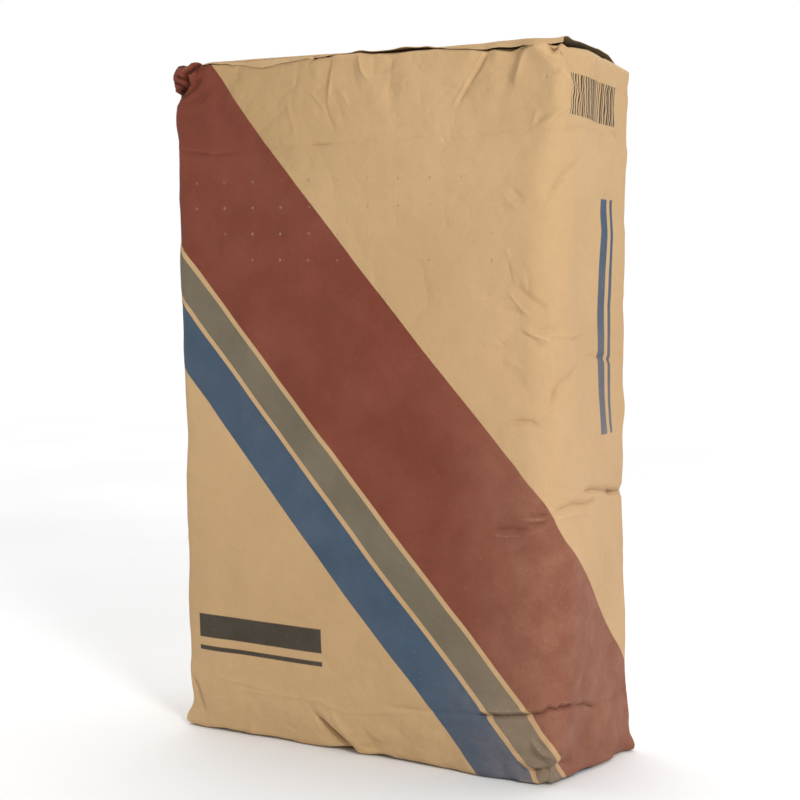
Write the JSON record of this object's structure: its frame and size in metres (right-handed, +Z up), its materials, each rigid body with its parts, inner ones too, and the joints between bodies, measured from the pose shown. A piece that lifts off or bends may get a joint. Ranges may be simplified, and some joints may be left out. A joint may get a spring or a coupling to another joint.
{
  "type": "cement bag",
  "caption": "Filled paper valve sack of cement, standing on its folded block bottom, with a pasted cover patch over each end and a flat valve sleeve at the top corner.",
  "frame": {"origin": "on the floor under the middle of the sack's outline", "axes": "+Z up from the block bottom to the top block; -Y out of the wide printed front wall; +X towards the right-hand narrow wall, away from the valve"},
  "size_m": [0.3324, 0.132, 0.5092],
  "materials": {
    "sack_kraft": "matte brown kraft paper, printed with dark red, olive-grey and blue bands",
    "patch_kraft": "matte brown kraft paper, unprinted",
    "sleeve_kraft": "matte brown kraft paper, dusty",
    "cement_powder": "fine dull grey powder"
  },
  "bodies": {
    "root": {"paper_sack": "sack_kraft", "cement_fill": "cement_powder", "valve_sleeve": "sleeve_kraft", "top_cover_patch": "patch_kraft", "bottom_cover_patch": "patch_kraft"}
  },
  "joints": []
}
